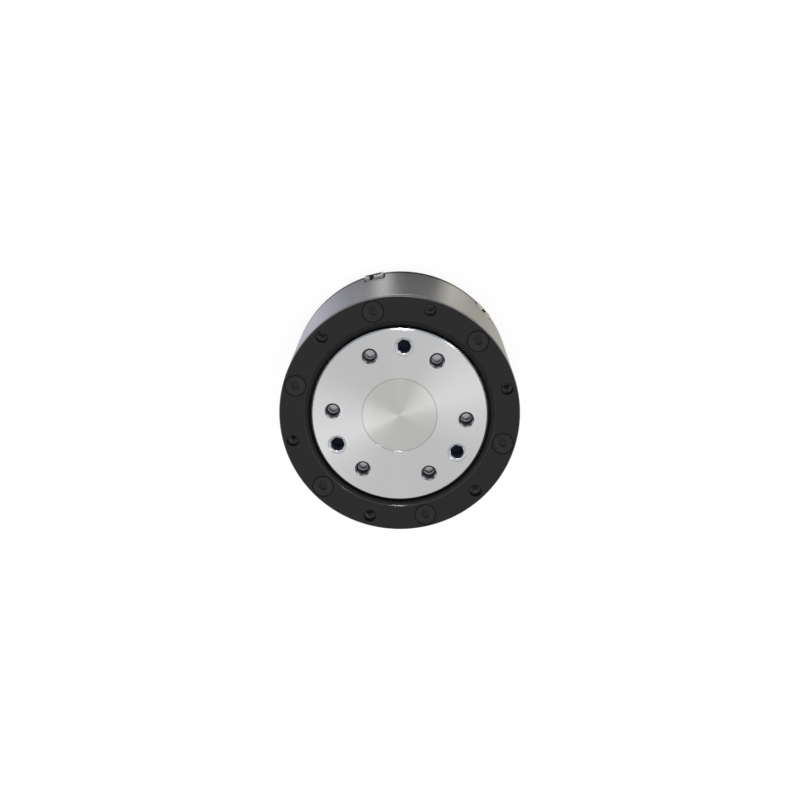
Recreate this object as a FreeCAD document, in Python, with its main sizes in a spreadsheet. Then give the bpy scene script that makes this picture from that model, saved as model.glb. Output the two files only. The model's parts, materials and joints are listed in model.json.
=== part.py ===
import FreeCAD, Part
import math
import os
import re

import Sketcher
from FreeCAD import Placement, Rotation, Vector

# Robot joint actuator: a brushless inner-rotor motor, a planetary gear stage and a driver board
# in one round housing. +Z is the output axis. The origin is the centre of the rear face.
# Heights are counted from the rear face, radii from the axis, in millimetres and degrees.

SIZES = [
    # shell
    ("body_diameter", 90, "outside of the housing"),
    ("motor_wall", 5, "housing wall round the motor"),
    ("gear_wall", 9, "housing wall round the gears and the main bearing"),
    ("mid_wall", 5.5, "wall between motor and gears"),
    ("edge_break", 0.35, "small bevel along the parting lines"),
    ("seat_gap", 0.02, "radial gap where one fixed piece sits in another"),
    ("run_gap", 0.05, "radial gap where one piece turns in another"),
    ("face_gap", 0.3, "between faces that move past each other"),
    # front ring
    ("ring_thickness", 3, "front ring"),
    ("ring_chamfer", 0.6, "inner edge of the front ring"),
    ("race_grip", 0.9, "front ring over the outer race, radially"),
    ("seal_width", 1.2, "dust seal, radially"),
    ("seal_drop", 0.5, "dust seal below the ring's face"),
    ("ring_screw_radius", 1.95, "M4 screw, shank"),
    ("ring_screw_head", 3.95, "M4 countersunk head, radius"),
    ("ring_screw_length", 12, "M4 screw, over all"),
    ("screw_inset", 4.75, "ring screws in from the outside"),
    ("screw_angle", 45, "first ring screw"),
    ("mount_clearance", 2.3, "M4 clearance hole through the ring, radius"),
    ("mount_drill", 1.65, "M4 tapped hole in the housing, radius"),
    ("mount_depth", 9, "M4 tapped hole below the ring"),
    ("mount_inset", 3.75, "mounting holes in from the outside"),
    ("mount_angle", 15, "first mounting hole"),
    # output flange
    ("output_turn", -2.8, "how far the output is turned from the housing as drawn"),
    ("disc_gap", 0.8, "between output disc and seal"),
    ("disc_stand", 0.45, "output disc ahead of the ring"),
    ("disc_bevel", 0.65, "polished edge of the disc"),
    ("bolt_inset", 5, "M5 output holes inside the bearing's bore"),
    ("bolt_drill", 2.1, "M5 tapped hole, radius"),
    ("bolt_depth", 6, "M5 tapped hole"),
    ("bolt_mouth", 2.85, "M5 countersunk mouth, radius"),
    ("dowel_inset", 4, "dowel holes inside the bearing's bore"),
    ("dowel_radius", 2.5, "dowel hole"),
    ("dowel_depth", 10, "dowel hole"),
    ("dowel_mouth", 3.4, "dowel hole's mouth, radius"),
    ("cap_radius", 14, "centre cap"),
    ("cap_thickness", 2, "centre cap"),
    # main bearing
    ("race_section", 6, "both races together, radially"),
    ("bearing_width", 8, "main bearing"),
    ("roller_size", 3, "crossed rollers, diameter and length"),
    ("roller_count", 30, "crossed rollers"),
    ("race_split", 0.6, "between the races"),
    # gears
    ("sun_teeth", 12, "sun gear"),
    ("planet_teeth", 24, "planet gears"),
    ("pressure_angle", 25, "all gears"),
    ("backlash", 0.12, "along the pitch circle"),
    ("gear_rim", 4.75, "ring gear outside its tooth roots"),
    ("ring_gear_length", 14.5, "ring gear"),
    ("boss_drop", 2.1, "carrier boss reaches back into the ring gear"),
    ("boss_gap", 0.7, "carrier boss inside the ring gear's teeth"),
    ("carrier_gap", 0.6, "carrier plate to mid wall"),
    ("carrier_thickness", 2.6, "carrier plate"),
    ("planet_gap", 0.2, "planet gear to carrier, each side"),
    ("planet_pin", 3, "planet pin, radius"),
    ("pin_grip", 6, "planet pin pressed into the flange"),
    ("bush_wall", 2, "planet bush"),
    ("pillar_radius", 4.6, "pillars between the planets"),
    ("pillar_circle", 20.6, "pillars out from the axis"),
    # motor
    ("stack_length", 9.6, "stator laminations; this sets the length of the actuator"),
    ("stator_depth", 12.5, "stator, radially"),
    ("slot_count", 12, "stator slots"),
    ("tooth_width", 6, "stator tooth"),
    ("yoke_width", 2.9, "stator yoke"),
    ("slot_mouth", 1.8, "gap between tooth tips"),
    ("tip_height", 1.3, "tooth tip, radially"),
    ("coil_width", 3.4, "winding beside its tooth"),
    ("coil_overhang", 2.3, "winding past the stack"),
    ("coil_room", 0.5, "winding to the nearest wall"),
    ("air_gap", 0.5, "stator to magnets"),
    ("magnet_count", 14, "rotor magnets"),
    ("magnet_height", 2.3, "rotor magnets, radially"),
    ("magnet_width", 9.6, "rotor magnets, along the rim"),
    ("rim_width", 2.8, "rotor rim"),
    ("web_width", 3, "rotor web"),
    # rotor shaft and its bearings
    ("shaft_radius", 6, "shaft in the rotor"),
    ("rear_journal", 5, "shaft in the rear bearing"),
    ("nose_radius", 7.5, "rotor nose in the front bearing"),
    ("race_wall", 1.5, "races of the two rotor bearings"),
    ("ball_space", 1.5, "between the races of the rotor bearings"),
    ("rotor_bearing", 5, "width of each rotor bearing"),
    ("bearing_lip", 0.6, "lip behind the rear rotor bearing"),
    ("magnet_radius", 3, "encoder magnet"),
    ("magnet_length", 2.4, "encoder magnet"),
    ("magnet_sink", 1.6, "encoder magnet in the shaft"),
    # rear end
    ("cover_thickness", 4.5, "rear cover at its edge"),
    ("cover_floor", 2.2, "rear cover behind the board"),
    ("skirt_width", 2, "skirt of the rear cover"),
    ("ledge_width", 3.4, "ledge under the board"),
    ("ledge_height", 3, "board above the cover's floor"),
    ("board_thickness", 1.6, "driver board"),
    ("board_room", 6.6, "driver board to the end plate"),
    ("plate_thickness", 2.4, "end plate"),
    ("plate_rim", 2.2, "rim of the end plate"),
    ("hub_drop", 2.4, "end plate's bearing hub towards the board"),
    ("cover_screw", 1.2, "M2.5 cover screw, radius"),
    ("cover_screw_head", 2.3, "M2.5 countersunk head, radius"),
    ("cover_screw_length", 12, "M2.5 cover screw, over all"),
    ("cover_screw_count", 4, "cover screws"),
    ("cover_screw_angle", 72, "first cover screw"),
    ("fin_pitch", 6, "cooling grooves in the rear cover"),
    ("fin_groove", 2.4, "cooling groove, width"),
    ("fin_depth", 1, "cooling groove"),
    ("fin_margin", 9, "cooling grooves in from the outside"),
    # connectors
    ("port_depth", 10.5, "connectors, radially"),
    ("port_room", 0.6, "cut-out beside a connector"),
    ("signal_angle", 104.4, "signal connector"),
    ("signal_width", 7.4, "signal connector"),
    ("signal_height", 6, "signal connector"),
    ("signal_stand", 1.3, "signal connector proud of the housing"),
    ("signal_room", 2.2, "cut-out ahead of the signal connector"),
    ("power_angle", 43.1, "power connector"),
    ("power_width", 7.4, "power connector"),
    ("power_height", 4.2, "power connector"),
    ("power_stand", 0.7, "power connector proud of the housing"),
    ("power_room", 0.5, "cut-out ahead of the power connector"),
    ("port_wall", 0.8, "walls of both connectors"),
    ("socket_depth", 6, "sockets of both connectors"),
    ("latch_width", 3, "latch slot in a connector's front wall"),
    ("lead_width", 2.4, "phase leads"),
    ("lead_thickness", 1.2, "phase leads"),
]

# what follows from the sizes above
WORKED_OUT = {
    "body_radius": "body_diameter / 2",
    "motor_bore": "body_radius - motor_wall",
    "gear_bore": "body_radius - gear_wall",
    "hub_radius": "gear_bore - race_section",
    "ring_bore": "gear_bore - race_grip",
    "disc_radius": "ring_bore - seal_width - disc_gap",
    "screw_circle": "body_radius - screw_inset",
    "mount_circle": "body_radius - mount_inset",
    "bolt_circle": "hub_radius - bolt_inset",
    "dowel_circle": "hub_radius - dowel_inset",
    "cover_screw_circle": "body_radius - motor_wall / 2",
    # heights, from the rear face to the front
    "board_rear": "cover_floor + ledge_height",
    "board_front": "board_rear + board_thickness",
    "plate_rear": "board_front + board_room",
    "plate_front": "plate_rear + plate_thickness",
    "coil_rear": "plate_front + coil_room",
    "stator_rear": "coil_rear + coil_overhang",
    "stator_front": "stator_rear + stack_length",
    "coil_front": "stator_front + coil_overhang",
    "wall_rear": "coil_front + coil_room",
    "wall_front": "wall_rear + mid_wall",
    "race_rear": "wall_front + ring_gear_length",
    "race_front": "race_rear + bearing_width",
    "ring_front": "race_front + ring_thickness",
    "disc_front": "ring_front + disc_stand",
    "roller_circle": "gear_bore - race_section / 2",
    "roller_groove": "(roller_size / 2 + run_gap) * sqrt(2) - race_split / 2",
    "roller_height": "race_rear + bearing_width / 2",
    "carrier_rear": "wall_front + carrier_gap",
    "carrier_front": "carrier_rear + carrier_thickness",
    "boss_face": "race_rear - boss_drop",
    "sun_front": "boss_face - planet_gap",
    "planet_rear": "carrier_front + planet_gap",
    "planet_front": "boss_face - planet_gap",
    "planet_bore": "planet_pin + bush_wall",
    # the planetary stage: the module follows from the bore that the ring gear sits in
    "ring_teeth": "sun_teeth + 2 * planet_teeth",
    "module": "(gear_bore - gear_rim) / (ring_teeth / 2 + 1.25)",
    "planet_circle": "module * (sun_teeth + planet_teeth) / 2",
    "boss_radius": "module * (ring_teeth / 2 - 1) - boss_gap",
    "planet_angle": "output_turn + 90",
    # motor
    "stator_bore": "motor_bore - stator_depth",
    "magnet_face": "stator_bore - air_gap",
    "rim_radius": "magnet_face - magnet_height",
    "hub_rear": "plate_rear - hub_drop",
    "rear_bearing_rear": "hub_rear + bearing_lip",
    "rear_bearing_front": "rear_bearing_rear + rotor_bearing",
    "front_bearing_front": "wall_rear + rotor_bearing",
    "rear_race_radius": "rear_journal + 2 * race_wall + ball_space",
    "front_race_radius": "nose_radius + 2 * race_wall + ball_space",
    "shaft_rear": "hub_rear - 0.4",
    "rotor_rear": "rear_bearing_front + coil_room",
    "nose_front": "front_bearing_front + 0.1",
    "signal_front": "board_front + signal_height + signal_room",
    "power_front": "board_front + power_height + power_room",
    "skirt_radius": "motor_bore - 2 * seat_gap",
    "skirt_bore": "motor_bore - skirt_width",
    "ledge_bore": "skirt_bore - ledge_width",
}

ALIASES = [alias for alias, number, note in SIZES]
NAME = re.compile(r"[a-z][a-z_]*")


# Write a size in the document's own terms: a sheet name gets its sheet, a worked-out name its formula.
def bind(text):
    def spell(match):
        word = match.group(0)
        if word in WORKED_OUT:
            return "(" + bind(WORKED_OUT[word]) + ")"
        return "Sizes." + word if word in ALIASES else word

    return NAME.sub(spell, str(text))


doc = FreeCAD.newDocument("JointActuator")
sheet = doc.addObject("Spreadsheet::Sheet", "Sizes")
for row, (alias, number, note) in enumerate(SIZES, start=1):
    sheet.set(f"A{row}", alias)
    sheet.set(f"B{row}", str(number))
    sheet.set(f"C{row}", note)
    sheet.setAlias(f"B{row}", alias)
doc.recompute()


def size(text):
    return float(sheet.evalExpression(bind(text)))


pieces = []


# ---------------------------------------------------------------- PartDesign helpers

def new_body(label):
    body = doc.addObject("PartDesign::Body", label)
    pieces.append(body)
    return body


def new_sketch(body, name, role, height="0", turn="0"):
    sketch = body.newObject("Sketcher::SketchObject", name)
    plane = next(item for item in body.Origin.OriginFeatures if item.Role == role)
    sketch.AttachmentSupport = (plane, [""])
    sketch.MapMode = "FlatFace"
    sketch.AttachmentOffset = Placement(Vector(0, 0, size(height)), Rotation(Vector(0, 0, 1), size(turn)))
    if height != "0":
        sketch.setExpression(".AttachmentOffset.Base.z", bind(height))
    if turn != "0":
        sketch.setExpression(".AttachmentOffset.Rotation.Angle", bind(turn))
    return sketch


# Tie a point of the sketch to its distances from the two axes.
def place_point(sketch, geometry, point, across, up):
    for text, kind, axis in ((across, "DistanceX", -2), (up, "DistanceY", -1)):
        if text == "0":
            sketch.addConstraint(Sketcher.Constraint("PointOnObject", geometry, point, axis))
        else:
            link = Sketcher.Constraint(kind, -1, 1, geometry, point, size(text))
            sketch.setExpression(f"Constraints[{sketch.addConstraint(link)}]", bind(text))


# A closed outline of straight lines through the given (across, up) points.
def outline(sketch, points):
    first = sketch.GeometryCount
    corners = [Vector(size(across), size(up), 0) for across, up in points]
    following = corners[1:] + corners[:1]
    for start, end in zip(corners, following):
        sketch.addGeometry(Part.LineSegment(start, end))
    for index, (across, up) in enumerate(points):
        after = first + (index + 1) % len(points)
        sketch.addConstraint(Sketcher.Constraint("Coincident", first + index, 2, after, 1))
        place_point(sketch, first + index, 1, across, up)


def circle(sketch, across, up, radius):
    centre = Vector(size(across), size(up), 0)
    index = sketch.addGeometry(Part.Circle(centre, Vector(0, 0, 1), size(radius)))
    place_point(sketch, index, 3, across, up)
    link = sketch.addConstraint(Sketcher.Constraint("Radius", index, size(radius)))
    sketch.setExpression(f"Constraints[{link}]", bind(radius))


# A piece turned about the output axis, from its half section of (radius, height) points.
def turned(label, points):
    body = new_body(label)
    sketch = new_sketch(body, label + "_section", "XZ_Plane")
    outline(sketch, points)
    revolution = body.newObject("PartDesign::Revolution", label + "_turning")
    revolution.Profile = sketch
    revolution.ReferenceAxis = (sketch, ["V_Axis"])
    revolution.Angle = 360
    doc.recompute()
    return body


def tube(label, inner, outer, rear, front):
    return turned(label, [(inner, rear), (outer, rear), (outer, front), (inner, front)])


# Repeat a feature evenly round the output axis.
def around(body, feature, sketch, count):
    pattern = body.newObject("PartDesign::PolarPattern", feature.Name + "_pattern")
    pattern.Originals = [feature]
    pattern.Axis = (sketch, ["N_Axis"])
    pattern.Angle = 360
    pattern.setExpression("Occurrences", bind(count))
    body.Tip = pattern
    doc.recompute()


# A ring of round holes with flat floors, drilled from `height`; `rearward` drills towards the rear
# face. With `mouth`, a radius, each hole opens out to it at 45 degrees.
def drilled(body, name, height, turn, distance, radius, depth, count, rearward=True, mouth=None):
    sketch = new_sketch(body, name + "_centre", "XY_Plane", height, turn)
    circle(sketch, distance, "0", radius)
    pocket = body.newObject("PartDesign::Pocket", name)
    pocket.Profile = sketch
    pocket.Length = size(depth)
    pocket.setExpression("Length", bind(depth))
    pocket.Reversed = not rearward
    doc.recompute()
    around(body, pocket, sketch, count)
    if mouth:
        cone = cone_mouth(body, name + "_mouth", height, turn, distance, radius, mouth, rearward)
        around(body, cone, sketch, count)


def cone_mouth(body, name, height, turn, distance, radius, mouth, rearward):
    cone = body.newObject("PartDesign::SubtractiveCone", name)
    plane = next(item for item in body.Origin.OriginFeatures if item.Role == "XY_Plane")
    cone.AttachmentSupport = (plane, [""])
    cone.MapMode = "FlatFace"
    drop = f"(({mouth}) - ({radius}))"
    rear = f"({height}) - {drop}" if rearward else height
    for axis, text in (("x", f"({distance}) * cos(({turn}) * 1deg)"),
                       ("y", f"({distance}) * sin(({turn}) * 1deg)"), ("z", rear)):
        cone.setExpression(".AttachmentOffset.Base." + axis, bind(text))
    cone.setExpression("Radius1", bind(radius if rearward else mouth))
    cone.setExpression("Radius2", bind(mouth if rearward else radius))
    cone.setExpression("Height", bind(drop))
    doc.recompute()
    return cone


# Cut a straight-sided outline, drawn at `height` and turned by `turn`, along the output axis.
def cut_outline(body, name, height, turn, points, depth, rearward=True):
    sketch = new_sketch(body, name + "_outline", "XY_Plane", height, turn)
    outline(sketch, points)
    pocket = body.newObject("PartDesign::Pocket", name)
    pocket.Profile = sketch
    pocket.Length = size(depth)
    pocket.setExpression("Length", bind(depth))
    pocket.Reversed = not rearward
    doc.recompute()
    body.Tip = pocket
    return pocket, sketch


# A rectangle that is `width` wide, from `inner` to `outer` along the sketch's own X axis.
def slot(inner, outer, width):
    return [(inner, f"-({width}) / 2"), (outer, f"-({width}) / 2"),
            (outer, f"({width}) / 2"), (inner, f"({width}) / 2")]


# ---------------------------------------------------------------- Part helpers

# A piece, or a group of separate like pieces, made directly as a shape.
def shaped(label, shapes):
    feature = doc.addObject("Part::Feature", label)
    feature.Shape = shapes[0] if len(shapes) == 1 else Part.makeCompound(shapes)
    pieces.append(feature)
    return feature


def turned_shape(points):
    corners = [Vector(radius, 0, height) for radius, height in points]
    face = Part.Face(Part.makePolygon(corners + corners[:1]))
    return face.revolve(Vector(0, 0, 0), Vector(0, 0, 1), 360)


def rod(radius, rear, front, centre=Vector(0, 0, 0)):
    return Part.makeCylinder(radius, front - rear, centre + Vector(0, 0, rear))


# A block that is `width` wide across the direction `turn`, from `inner` to `outer` along it.
def block(inner, outer, width, rear, front, turn=0.0, aside=0.0):
    shape = Part.makeBox(outer - inner, width, front - rear, Vector(inner, aside - width / 2, rear))
    return turned_copy(shape, turn)


def turned_copy(shape, angle):
    copy = shape.copy()
    copy.rotate(Vector(0, 0, 0), Vector(0, 0, 1), angle)
    return copy


def polar(distance, angle, height=0.0):
    turn = math.radians(angle)
    return Vector(distance * math.cos(turn), distance * math.sin(turn), height)


# A countersunk screw with its head's face at the origin, pointing down -Z.
def countersunk_screw(head, shank, length):
    drop = head - shank
    return turned_shape([(0, 0), (head, 0), (shank, -drop), (shank, -length), (0, -length)])


def ring_of(shape, distance, first, count, height, flip=False):
    copies = []
    for index in range(count):
        copy = shape.copy()
        if flip:
            copy.rotate(Vector(0, 0, 0), Vector(1, 0, 0), 180)
        copy.translate(polar(distance, first + 360 * index / count, height))
        copies.append(copy)
    return copies


# ---------------------------------------------------------------- shell

def make_housing():
    body = turned("housing", [
        ("motor_bore", "cover_thickness"), ("body_radius", "cover_thickness"),
        ("body_radius", "race_front"), ("gear_bore", "race_front"), ("gear_bore", "wall_front"),
        ("front_race_radius", "wall_front"), ("front_race_radius", "wall_rear"),
        ("motor_bore", "wall_rear")])
    drilled(body, "mount_threads", "race_front", "mount_angle", "mount_circle", "mount_drill",
            "mount_depth", "6")
    drilled(body, "ring_screw_holes", "race_front", "screw_angle", "screw_circle",
            "ring_screw_radius + seat_gap", "ring_screw_length - ring_thickness + 1", "6")
    drilled(body, "cover_screw_holes", "cover_thickness", "cover_screw_angle", "cover_screw_circle",
            "cover_screw + seat_gap", "cover_screw_length - cover_thickness + 1",
            "cover_screw_count", rearward=False)
    for port in ("signal", "power"):
        cut_outline(body, port + "_cutout", "cover_thickness", port + "_angle",
                    slot("motor_bore - 4", "body_radius + 2", f"{port}_width + 2 * port_room"),
                    port + "_front - cover_thickness", rearward=False)


def make_front_ring():
    body = turned("front_ring", [
        ("ring_bore", "race_front"), ("body_radius", "race_front"),
        ("body_radius", "ring_front - edge_break"), ("body_radius - edge_break", "ring_front"),
        ("ring_bore + ring_chamfer", "ring_front"), ("ring_bore", "ring_front - ring_chamfer")])
    drilled(body, "mount_clearances", "ring_front", "mount_angle", "mount_circle", "mount_clearance",
            "ring_thickness", "6")
    drilled(body, "ring_screw_seats", "ring_front", "screw_angle", "screw_circle",
            "ring_screw_radius + seat_gap", "ring_thickness", "6", mouth="ring_screw_head + seat_gap")
    tube("dust_seal", "ring_bore - seal_width", "ring_bore - seat_gap", "race_front",
         "ring_front - seal_drop")
    screw = countersunk_screw(size("ring_screw_head"), size("ring_screw_radius"),
                              size("ring_screw_length"))
    shaped("front_ring_screws", ring_of(screw, size("screw_circle"), size("screw_angle"), 6,
                                        size("ring_front")))


def make_rear_cover():
    body = turned("rear_cover", [
        ("0", "0"), ("body_radius - edge_break", "0"), ("body_radius", "edge_break"),
        ("body_radius", "cover_thickness"), ("skirt_radius", "cover_thickness"),
        ("skirt_radius", "plate_rear"), ("skirt_bore", "plate_rear"), ("skirt_bore", "board_rear"),
        ("ledge_bore", "board_rear"), ("ledge_bore", "cover_floor"), ("0", "cover_floor")])
    for port in ("signal", "power"):
        cut_outline(body, port + "_window", "board_rear", port + "_angle",
                    slot("skirt_bore - 4", "body_radius - 1", f"{port}_width + 2 * port_room"),
                    "plate_rear - board_rear", rearward=False)
    cut_cooling_grooves(body)
    drilled(body, "cover_screw_seats", "0", "cover_screw_angle", "cover_screw_circle",
            "cover_screw + seat_gap", "cover_thickness", "cover_screw_count", rearward=False,
            mouth="cover_screw_head + seat_gap")
    screw = countersunk_screw(size("cover_screw_head"), size("cover_screw"), size("cover_screw_length"))
    shaped("rear_cover_screws", ring_of(screw, size("cover_screw_circle"), size("cover_screw_angle"),
                                        int(size("cover_screw_count")), 0, flip=True))


# Cooling grooves run straight across the rear face, each as long as the round field allows. The
# middle of the face is a land.
def cut_cooling_grooves(body):
    field = "(body_radius - fin_margin)"
    rows = int(size(f"({field} - fin_groove / 2) / fin_pitch + 0.5"))
    for row in range(rows):
        for side in ("-", "+"):
            middle = f"{side} ({row} + 0.5) * fin_pitch"
            reach = f"sqrt({field} ^ 2 - (({row} + 0.5) * fin_pitch + fin_groove / 2) ^ 2)"
            low, high = f"{middle} - fin_groove / 2", f"{middle} + fin_groove / 2"
            points = [(f"-{reach}", low), (reach, low), (reach, high), (f"-{reach}", high)]
            name = f"cooling_groove_{row + 1}_" + ("below" if side == "-" else "above")
            cut_outline(body, name, "0", "0", points, "fin_depth", rearward=False)


# ---------------------------------------------------------------- main bearing and output

# The races of the crossed-roller bearing face each other with a right-angled groove in each.
def make_main_bearing():
    for label, seat, face, side in (
            ("main_bearing_outer_race", "gear_bore - seat_gap", "roller_circle + race_split / 2", "+"),
            ("main_bearing_inner_race", "hub_radius + seat_gap", "roller_circle - race_split / 2", "-")):
        rear = "race_rear" if side == "+" else "race_rear + face_gap"
        turned(label, [
            (seat, rear), (seat, "race_front"), (face, "race_front"),
            (face, "roller_height + roller_groove"), (f"{face} {side} roller_groove", "roller_height"),
            (face, "roller_height - roller_groove"), (face, rear)])
    shaped("main_bearing_rollers", crossed_rollers())


# Every other roller lies crosswise to the one before it. Each has eight sides, flat to the grooves.
def crossed_rollers():
    half = size("roller_size") / 2
    corners = [polar(half / math.cos(math.pi / 8), 22.5 + 45 * corner, -half) for corner in range(9)]
    roller = Part.Face(Part.makePolygon(corners)).extrude(Vector(0, 0, 2 * half))
    rollers = []
    count = int(size("roller_count"))
    for index in range(count):
        copy = roller.copy()
        copy.rotate(Vector(0, 0, 0), Vector(0, 1, 0), 45 if index % 2 else -45)
        copy.translate(Vector(size("roller_circle"), 0, size("roller_height")))
        rollers.append(turned_copy(copy, 360 * index / count))
    return rollers


def make_output():
    body = turned("output_flange", [
        ("0", "boss_face"), ("boss_radius", "boss_face"), ("boss_radius", "race_rear + face_gap"),
        ("hub_radius", "race_rear + face_gap"), ("hub_radius", "race_front"),
        ("disc_radius", "race_front"), ("disc_radius", "disc_front - disc_bevel"),
        ("disc_radius - disc_bevel", "disc_front"), ("cap_radius", "disc_front"),
        ("cap_radius", "disc_front - cap_thickness"), ("0", "disc_front - cap_thickness")])
    drilled(body, "pin_seats", "boss_face", "planet_angle", "planet_circle", "planet_pin + seat_gap",
            "pin_grip", "3", rearward=False)
    drilled(body, "output_bolt_holes", "disc_front", "output_turn", "bolt_circle", "bolt_drill",
            "bolt_depth", "6", mouth="bolt_mouth")
    drilled(body, "output_dowel_holes", "disc_front", "output_turn + 90", "dowel_circle",
            "dowel_radius", "dowel_depth", "3", mouth="dowel_mouth")
    turned("output_cap", [("0", "disc_front - cap_thickness"),
                          ("cap_radius - seat_gap", "disc_front - cap_thickness"),
                          ("cap_radius - seat_gap", "disc_front"), ("0", "disc_front")])


# The carrier's pillars stand between the planets and reach the flange's boss.
def make_carrier():
    body = tube("carrier_plate", "module * (sun_teeth / 2 + 1) + 1", "boss_radius", "carrier_rear",
                "carrier_front")
    pillar = new_sketch(body, "pillar_end", "XY_Plane", "carrier_front", "planet_angle + 60")
    circle(pillar, "pillar_circle", "0", "pillar_radius")
    pad = body.newObject("PartDesign::Pad", "pillar")
    pad.Profile = pillar
    pad.Length = size("boss_face - carrier_front")
    pad.setExpression("Length", bind("boss_face - carrier_front"))
    doc.recompute()
    around(body, pad, pillar, "3")
    drilled(body, "pin_passages", "carrier_front", "planet_angle", "planet_circle",
            "planet_pin + seat_gap", "carrier_thickness", "3")
    pin = rod(size("planet_pin"), size("carrier_rear"), size("boss_face + pin_grip"))
    shaped("planet_pins", ring_of(pin, size("planet_circle"), size("planet_angle"), 3, 0))


# ---------------------------------------------------------------- gears

# An outline with `teeth` outward teeth between the radii `root` and `tip`. Each flank runs through
# three points of its involute, and straight in to the root inside the base circle. `half_angle` is
# half of a tooth at the pitch circle, in radians. A tooth is centred on `turn`.
def toothed_outline(teeth, root, tip, pitch, half_angle, turn):
    base = pitch * math.cos(math.radians(size("pressure_angle")))

    def involute(radius):
        angle = math.acos(min(1.0, base / radius))
        return math.tan(angle) - angle

    def half_at(radius):
        return math.degrees(half_angle + involute(pitch) - involute(radius))

    flank = [root, (max(base, root) + tip) / 2, tip]
    corners = []
    for index in range(teeth):
        centre = turn + 360 * index / teeth
        corners += [polar(radius, centre - half_at(radius)) for radius in flank]
        corners += [polar(radius, centre + half_at(radius)) for radius in reversed(flank)]
    return Part.Face(Part.makePolygon(corners + corners[:1]))


# A gear with teeth outside, centred on the axis.
def spur(teeth, turn, rear, front):
    module = size("module")
    pitch = module * teeth / 2
    half_angle = math.pi / (2 * teeth) - size("backlash") / (4 * pitch)
    face = toothed_outline(teeth, pitch - 1.25 * module, pitch + module, pitch, half_angle, turn)
    face.translate(Vector(0, 0, rear))
    return face.extrude(Vector(0, 0, front - rear))


# The sun has a tooth, and each planet a gap, on the line between their axes. The ring gear has a
# tooth on the same line, on the planet's far side.
def make_gears():
    ring_teeth = int(size("ring_teeth"))
    planet_teeth = int(size("planet_teeth"))
    module = size("module")
    pitch = module * ring_teeth / 2
    first = size("planet_angle")
    gap_half_angle = math.pi / (2 * ring_teeth) + size("backlash") / (4 * pitch)
    gaps = toothed_outline(ring_teeth, pitch - module, pitch + 1.25 * module, pitch, gap_half_angle,
                           first + 180 / ring_teeth)
    rear, front = size("wall_front"), size("race_rear")
    gaps.translate(Vector(0, 0, rear))
    blank = rod(size("gear_bore - seat_gap"), rear, front)
    shaped("ring_gear", [blank.cut(gaps.extrude(Vector(0, 0, front - rear)))])
    rear, front = size("planet_rear"), size("planet_front")
    gear = spur(planet_teeth, 180 + 180 / planet_teeth, rear, front)
    gear = gear.cut(rod(size("planet_bore"), rear, front))
    inner, outer = size("planet_pin + run_gap"), size("planet_bore - seat_gap")
    bush = rod(outer, rear - 0.1, front + 0.1).cut(rod(inner, rear - 0.1, front + 0.1))
    for index in range(3):
        angle = first + 120 * index
        place = Placement(polar(size("planet_circle"), angle), Rotation(Vector(0, 0, 1), angle))
        shaped(f"planet_gear_{index + 1}", [gear]).Placement = place
        shaped(f"planet_bush_{index + 1}", [bush]).Placement = place


def make_sun_shaft():
    rear, nose = size("shaft_rear"), size("nose_front")
    front = size("sun_front")
    shaft = turned_shape([
        (0, rear), (size("rear_journal"), rear), (size("rear_journal"), size("rotor_rear")),
        (size("shaft_radius"), size("rotor_rear")), (size("shaft_radius"), nose), (0, nose)])
    gear = spur(int(size("sun_teeth")), size("planet_angle"), nose, front)
    pocket = rod(size("magnet_radius"), rear, rear + size("magnet_sink"))
    shaped("sun_shaft", [shaft.fuse(gear).cut(pocket)])
    magnet_front = rear + size("magnet_sink")
    shaped("encoder_magnet", [rod(size("magnet_radius - seat_gap"), magnet_front - size("magnet_length"),
                                  magnet_front)])


# ---------------------------------------------------------------- motor

def make_rotor():
    turned("rotor_core", [
        ("shaft_radius + seat_gap", "rotor_rear"), ("rim_radius", "rotor_rear"),
        ("rim_radius", "stator_front + 0.5"), ("rim_radius - rim_width", "stator_front + 0.5"),
        ("rim_radius - rim_width", "rotor_rear + web_width"), ("nose_radius", "rotor_rear + web_width"),
        ("nose_radius", "nose_front"), ("shaft_radius + seat_gap", "nose_front")])
    count = int(size("magnet_count"))
    shaped("rotor_magnets", [turned_copy(magnet_tile(), 360 * index / count) for index in range(count)])


# One magnet: an arc-sided tile on the rotor's rim.
def magnet_tile():
    inner, outer = size("rim_radius + seat_gap"), size("magnet_face")
    half = math.degrees(size("magnet_width") / 2 / outer)
    edges = [Part.Arc(polar(inner, -half), polar(inner, 0), polar(inner, half)),
             Part.LineSegment(polar(inner, half), polar(outer, half)),
             Part.Arc(polar(outer, half), polar(outer, 0), polar(outer, -half)),
             Part.LineSegment(polar(outer, -half), polar(inner, -half))]
    face = Part.Face(Part.Wire([edge.toShape() for edge in edges]))
    face.translate(Vector(0, 0, size("stator_rear")))
    return face.extrude(Vector(0, 0, size("stack_length")))


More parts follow.
